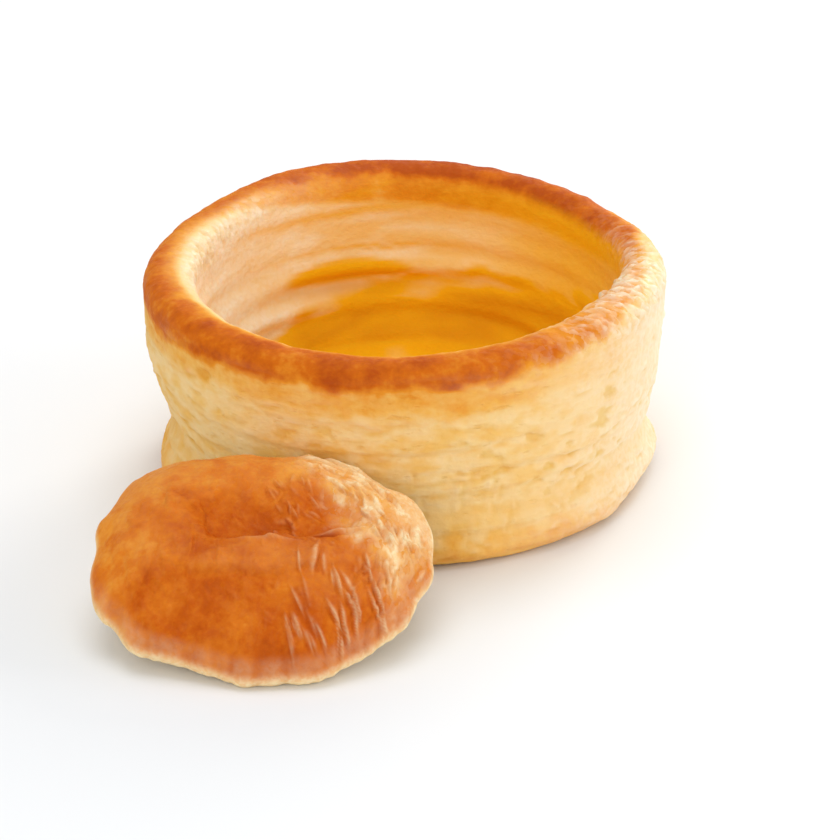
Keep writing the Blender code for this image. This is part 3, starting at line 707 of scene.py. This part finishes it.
lidRelief = {
    "warps": ((7.0, 1.3), (2.4, 0.55)),  # size and sway that make the dips' edges ragged
    "lump": (8.5, 0.32),
    "dimple": (2.6, 0.15),
    "pore": (1.0, 0.04),
    "frontPleat": ((1.5, 14.0), 0.30),
    # area from and to, turn and its spread in degrees, half lengths, half widths, heights and count
    "slopeRidges": ((4.0, -20.0), (21.5, -5.0), (-72, 12), (2.0, 4.2), (0.28, 0.46), (0.30, 0.62), 34),
    "hollowCrumples": ((1.5, 0.5), (9.0, 13.0), (-65, 34), (0.8, 2.4), (0.32, 0.55), (0.20, 0.44), 24),
    "flecks": ((-20.0, -19.0), (18.0, 12.0), (-62, 34), (0.5, 1.5), (0.28, 0.44), (0.05, 0.14), 120),
    "softCreases": ((-22.0, -16.0), (4.0, 12.0), (-58, 40), (2.0, 4.8), (0.45, 0.85), (0.10, 0.26), 36),
    # the same for flakes along the right end, placed by angle and share of the radius
    "endFlakes": ((-48.0, 0.66), (74.0, 1.0), (6, 24), (1.2, 3.4), (0.28, 0.44), (0.16, 0.40), 110),
    # place, turn, half length, half width and height of the ridges that stand alone
    "ridges": [(-11.6, -3.6, 84, 4.6, 0.55, 0.45), (-18.9, -7.8, 64, 5.6, 0.65, 0.34),
               (9.2, -5.4, 84, 4.2, 0.55, 0.65), (12.8, 1.4, 8, 5.0, 0.55, 0.60),
               (-9.8, 4.6, 100, 5.0, 0.65, 0.34), (-1.5, -1.6, 177, 9.5, 0.70, 0.42)],
    "strokeWarp": 0.35,  # how much of the sway bends the strokes
}

lidBrowning = {
    "toast": 0.69,
    "clouds": (6.0, 0.17),  # size and strength
    "swellSheen": 0.08,  # how much less brown for each mm of swell: a painted sheen on raised places
    "leftLess": (-11.0, -25.0, 0.22),  # mm from and to, along x or y, and how much less brown
    "backLess": (4.0, 18.0, 0.28),
    "leastToast": 0.40,
    "toastEdge": (1.2, 5.4),  # mm up the side, from and to
    "rightEnd": (12.0, 21.0),  # mm along x, from and to
    "rightWaves": (5.0, 2.5),  # size and sway
    "rightLess": 0.5,
    # how pale each thing is, painted highlight and sheen on crests and swells among it, and how dark the
    # painted shade in grooves and pleat valleys is
    "pale": {"right": 0.26, "patches": 0.48, "glare": 0.30, "crestHighlights": 0.20, "frontCrestHighlights": 0.26,
             "swells": 0.03, "back": 0.04, "pleats": 0.16, "pleatHighlights": 0.10, "side": 0.75},
    "paintedShade": {"grooves": 0.42, "flakes": 0.4, "pleats": 0.20},
}

lidLook = {
    "browns": [(0.0, (0.86, 0.60, 0.28)), (0.25, (0.80, 0.34, 0.045)), (0.5, (0.66, 0.17, 0.010)),
               (0.75, (0.52, 0.095, 0.003)), (1.0, (0.40, 0.060, 0.002))],
    "amberColour": (0.84, 0.40, 0.003),
    "deepShadeAmberColour": (0.70, 0.28, 0.002),
    "paleColour": (0.93, 0.76, 0.46),
    "creaseShadeColour": (0.80, 0.56, 0.36),
    "blotchScale": 230.0,
    "blotchStrength": 0.35,
    "speckleScale": 1000.0,
    "speckleStrength": 0.32,
    "thinScale": 250.0,
    "thinStretch": (1.0, 1.0, 1.6),
    "thinRange": (0.46, 0.66),
    "thinColour": (0.98, 0.80, 0.50),
    "thinShare": 0.6,
    "dashScale": 330.0,
    "dashStretch": (1.0, 1.0, 3.0),
    "dashRange": (0.62, 0.74),
    "dashColour": (0.90, 0.66, 0.36),
    "dashShare": 0.5,
    "flakeScale": 800.0,
    "flakeStretch": (1.7, 0.8, 0.8),
    "flakeWobble": 1.6 * mm,
    "flakeContrast": 0.45,
    "flakeHeight": 1.1,
    "bumpScale": 1000.0,
    "bumpStretch": (1.0, 1.0, 1.0),
    "bumpStrength": 0.7,
    "bumpDepth": 0.4 * mm,
    "dryRoughness": 0.65,
    "glazeRoughness": 0.50,
    "gloss": 0.25,
    "glossBlur": 0.28,
    "shine": 0.05,
    "softness": 0.06,
    "softDepth": 1.0 * mm,
}


def lidProfile(shape):
    # half section from the top's middle, round the edge, to the underside's middle
    radius, edge, rise = shape["radius"], shape["edge"], shape["rise"]
    topRows, underRows = shape["rows"]
    top = curveThrough([(a * radius, b * edge + c * rise) for a, b, c in shape["topCurve"]], topRows)
    share = np.linspace(0.0, 1.0, underRows + 1)[1:]
    inward = shape["topCurve"][-1][0] * radius * (1.0 - share)
    underside = np.column_stack([inward, shape["underRise"] * edge * np.sin(0.5 * math.pi * share)])
    return np.vstack([top, underside])


def lidSwells(shape, x, y):
    # each dip or swell is a flat oval with an S-shaped edge, crisper at its front and left, turned on the lid
    rise = 0.0
    for (atX, atY), (halfX, halfY), turn, height, softness in shape["swells"]:
        c, s = math.cos(math.radians(turn)), math.sin(math.radians(turn))
        along = (c * (x - atX) + s * (y - atY)) / halfX
        across = (c * (y - atY) - s * (x - atX)) / halfY
        behind = smoothStep(-0.7, 1.0, across + 0.6 * along)
        soft = softness * (shape["sharpness"] + (1.0 - shape["sharpness"]) * behind)
        rise = rise + height * smoothStep(1.0 + soft, 1.0 - soft, np.hypot(along, across))
    return rise


def makeLid(shape, relief, browning, look):
    profile = lidProfile(shape)
    radius, height = profile[:, :1], profile[:, 1:]
    angle = np.linspace(0.0, 2.0 * math.pi, shape["steps"], endpoint=False)[None, :]
    share = radius / shape["radius"]
    outward = aroundRing(angle, shape["spread"]) * share
    outward = outward + smoothStep(0.75, 1.0, share) * sum(
        size * np.cos(count * angle + phase) for size, count, phase in shape["pleats"])
    x = (radius + outward) * np.cos(angle)
    y = (radius + outward) * np.sin(angle) * shape["depthShare"]
    onTop = smoothStep(0.3 * shape["edge"], 0.9 * shape["edge"], height)
    flat = np.stack([x, y, np.zeros_like(x)], axis=-1)
    raggedX, raggedY = x, y
    for k, (size, sway) in enumerate(relief["warps"]):
        raggedX = raggedX + sway * latticeNoise(flat, size, 71 + k)
        raggedY = raggedY + sway * latticeNoise(flat, size, 75 + k)
    sunken = lidSwells(shape, raggedX, raggedY)
    grid = np.stack([x, y, height + onTop * sunken], axis=-1)

    chance = np.random.default_rng(11)
    slope, hollow, soft, flecks = (scatteredStrokes(relief[name], chance)
                                   for name in ("slopeRidges", "hollowCrumples", "softCreases", "flecks"))
    slope[:, 5] *= 0.35 + 0.65 * slope[:, 0] / relief["slopeRidges"][1][0]  # stronger to the right
    flakes = scatteredStrokes(relief["endFlakes"], chance)
    around, out = np.radians(flakes[:, 0]), flakes[:, 1] * shape["radius"]
    flakes[:, 0], flakes[:, 1] = out * np.cos(around), out * np.sin(around) * shape["depthShare"]
    flakes[:, 2] += np.degrees(around) - 90.0  # along the edge, with the groove on the inner side
    strokes = np.vstack([slope, hollow, soft, flecks, relief["ridges"]])
    bentX = x + relief["strokeWarp"] * (raggedX - x)
    bentY = y + relief["strokeWarp"] * (raggedY - y)
    ridges, crest, groove = crestStrokes(bentX, bentY, strokes)
    flakeRise, flakeCrest, flakeGroove = crestStrokes(bentX, bentY, flakes)
    (wide, long), pleatHeight = relief["frontPleat"]
    atFront = smoothStep(0.70, 0.92, share) * smoothStep(-3.0, -12.0, y)
    pleatNoise = latticeNoise(np.stack([x / wide, y / long, 0.0 * x], axis=-1), 1.0, 89)
    pleats = pleatHeight * atFront * pleatNoise
    lumps = relief["lump"][1] * cloudNoise(flat, relief["lump"][0], 97, 2) * smoothStep(1.0, 0.8, share)
    dimples = relief["dimple"][1] * cloudNoise(flat, relief["dimple"][0], 101, 2)
    pores = relief["pore"][1] * latticeNoise(flat, relief["pore"][0], 105)
    fine = onTop * (ridges + lumps + dimples + pores) + pleats + flakeRise * smoothStep(2.0, 5.5, height)
    grid = grid + surfaceNormals(grid) * fine[..., None]

    # Lean it back about X, lay it on the table and press its front edge flat.
    c, s = math.cos(math.radians(shape["tilt"])), math.sin(math.radians(shape["tilt"]))
    across, deep, tall = grid[..., 0], grid[..., 1], grid[..., 2]
    toRight, toBack = shape["place"]
    placed = np.stack([across + toRight, c * deep - s * tall + toBack, s * deep + c * tall], axis=-1)
    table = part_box("pastry_lid")[0][2] / mm
    placed[..., 2] = np.maximum(placed[..., 2] - placed[..., 2].min() - shape["bedding"] + table, table)
    placed[0] = placed[0].mean(axis=0)
    placed[-1] = placed[-1].mean(axis=0)

    # Where the oven browned it, with painted highlight, sheen and shade on top.
    waveSize, waveSway = browning["rightWaves"]
    toEnd = x + 0.5 * y + waveSway * cloudNoise(flat, waveSize, 109)
    atRight = smoothStep(*browning["rightEnd"], toEnd)
    atRight = atRight * (1.0 - 0.6 * smoothStep(0.84, 0.97, share) * smoothStep(3.0, -7.0, y))
    cloudSize, cloudStrength = browning["clouds"]
    toast = browning["toast"] + cloudStrength * cloudNoise(flat, cloudSize, 107)
    # raised places less brown: painted sheen
    toast = toast - browning["swellSheen"] * np.clip(sunken, -0.1, 1.5)
    for name, along in (("leftLess", x - 0.2 * y), ("backLess", y)):
        start, end, less = browning[name]
        toast = toast - less * smoothStep(start, end, along)
    toast = np.maximum(toast, browning["leastToast"]) * smoothStep(*browning["toastEdge"], height)
    toast = toast * (1.0 - browning["rightLess"] * atRight)
    patches = smoothStep(-0.1, 0.5, latticeNoise(flat, 3.0, 113) + 0.5 * flakeCrest - 0.2)
    atSide = smoothStep(7.4, 5.6, height)
    pleated = atFront * atSide
    # towards the right, where the lamps strike: the crests get painted highlight, the grooves painted shadow
    towardLight = smoothStep(-8.0, 14.0, x)
    glare = smoothStep(0.76, 0.94, share) * smoothStep(-2.0, 6.0, y)
    pale, paintedShade = browning["pale"], browning["paintedShade"]
    crestHighlight = (pale["crestHighlights"] + pale["frontCrestHighlights"] * smoothStep(3.0, -3.0, y)) * crest**2
    pallor = atRight * (pale["right"] + pale["patches"] * patches + pale["glare"] * glare)
    pallor = pallor + crestHighlight * onTop * towardLight
    # raised places a little paler: painted sheen
    pallor = pallor + onTop * pale["swells"] * np.clip(sunken, 0.0, 1.5)
    pallor = pallor + pale["back"] * smoothStep(4.0, 16.0, y)
    # pleat crests paler as painted highlight, valleys darker as painted shade
    pallor = pallor + pleated * (pale["pleats"] + pale["pleatHighlights"] * pleatNoise)
    pallor = pallor + pale["side"] * smoothStep(5.0, 2.8, height)
    # painted shadow in the grooves under the ridges and the end's flakes
    grooveShadow = paintedShade["grooves"] * groove * (0.35 + 0.65 * towardLight)
    creaseShade = onTop * (grooveShadow + paintedShade["flakes"] * atRight * flakeGroove)
    creaseShade = creaseShade + paintedShade["pleats"] * pleated * smoothStep(0.0, -0.4, pleatNoise)
    flaky = np.maximum(0.9 * atRight, 0.06 * onTop)
    marks = {"browning": toast, "amber": 0.0 * x, "pallor": pallor, "creaseShade": creaseShade, "leafy": 0.6 * atSide,
             "flaky": flaky}
    return closedSurface("lidCrust", placed, marks, bakedCrust("lidGlaze", look))


case = makeCase(caseShape, caseRelief, caseBrowning, caseLook)
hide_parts("pastry_case")
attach(case, "root")
print("case made")

lid = makeLid(lidShape, lidRelief, lidBrowning, lidLook)
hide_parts("pastry_lid")
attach(lid, "root")
print("lid made")


# The stage

stageLook = {
    "floorColour": (0.84, 0.84, 0.84),
    "floorHalf": 3.0,
    "sky": (0.93, 0.97, 1.0),
    "skyStrength": 0.62,
    # place, size, power and colour of each soft lamp, all aimed at the case
    "lamps": {
        "rightLamp": ((0.95, -0.08, 0.24), 0.50, 2.7, (1.0, 0.98, 0.96)),
        "backLamp": ((0.48, 0.85, 0.44), 0.45, 4.5, (1.0, 0.98, 0.96)),
        "topLamp": ((-0.05, 0.10, 1.20), 1.00, 5.5, (1.0, 1.0, 1.0)),
        "frontLamp": ((-0.25, -1.05, 0.50), 0.80, 4.0, (1.0, 1.0, 1.0)),
    },
    "aim": (-0.010, -0.020, 0.020),
}


def makeStage(look):
    half = look["floorHalf"]
    mesh = bpy.data.meshes.new("paleFloor")
    corners = [(-half, -half, 0), (half, -half, 0), (half, half, 0), (-half, half, 0)]
    mesh.from_pydata(corners, [], [(0, 1, 2, 3)])
    floor = bpy.data.objects.new("paleFloor", mesh)
    bpy.context.scene.collection.objects.link(floor)
    paint = bpy.data.materials.new("floorPaint")
    paint.use_nodes = True
    shader = paint.node_tree.nodes["Principled BSDF"]
    shader.inputs["Base Color"].default_value = (*look["floorColour"], 1.0)
    shader.inputs["Roughness"].default_value = 0.9
    shader.inputs["Specular IOR Level"].default_value = 0.1
    mesh.materials.append(paint)
    world = bpy.data.worlds.new("studioSky")
    world.use_nodes = True
    sky = world.node_tree.nodes["Background"]
    sky.inputs["Color"].default_value = (*look["sky"], 1.0)
    sky.inputs["Strength"].default_value = look["skyStrength"]
    bpy.context.scene.world = world
    for name, (place, size, power, colour) in look["lamps"].items():
        light = bpy.data.lights.new(name, "AREA")
        light.shape = "DISK"
        light.size = size
        light.energy = power
        light.color = colour
        lamp = bpy.data.objects.new(name, light)
        lamp.location = place
        lamp.rotation_euler = (Vector(look["aim"]) - Vector(place)).to_track_quat("-Z", "Y").to_euler()
        bpy.context.scene.collection.objects.link(lamp)


cameraView = {
    "distance": 1000.0,  # mm from the origin
    "elevation": 26.0,
    "scale": 0.1768,  # mm to a pixel at the origin
    "frame": 840,
    "originAt": (406.2, 464.3),  # the origin's pixel in that frame
}


def makeCamera(view):
    # it stands back from the origin and is turned so that the origin falls on its pixel
    tip = math.radians(view["elevation"])
    back = Vector((0.0, -math.cos(tip), math.sin(tip)))
    up = Vector((0.0, math.sin(tip), math.cos(tip)))
    right = Vector((1.0, 0.0, 0.0))
    middle = view["frame"] / 2
    aim = (right * (middle - view["originAt"][0]) + up * (view["originAt"][1] - middle)) * view["scale"] * mm
    lens = bpy.data.cameras.new("photoCamera")
    lens.sensor_fit = "HORIZONTAL"
    lens.sensor_width = 36.0
    lens.lens = 36.0 * view["distance"] / view["scale"] / view["frame"]
    lens.clip_start = 0.01
    camera = bpy.data.objects.new("photoCamera", lens)
    camera.location = back * view["distance"] * mm
    camera.rotation_euler = (aim - camera.location).to_track_quat("-Z", "Y").to_euler()
    bpy.context.scene.collection.objects.link(camera)
    bpy.context.scene.camera = camera


makeStage(stageLook)
makeCamera(cameraView)
bpy.context.scene.view_settings.view_transform = "Standard"
print("stage and camera set")
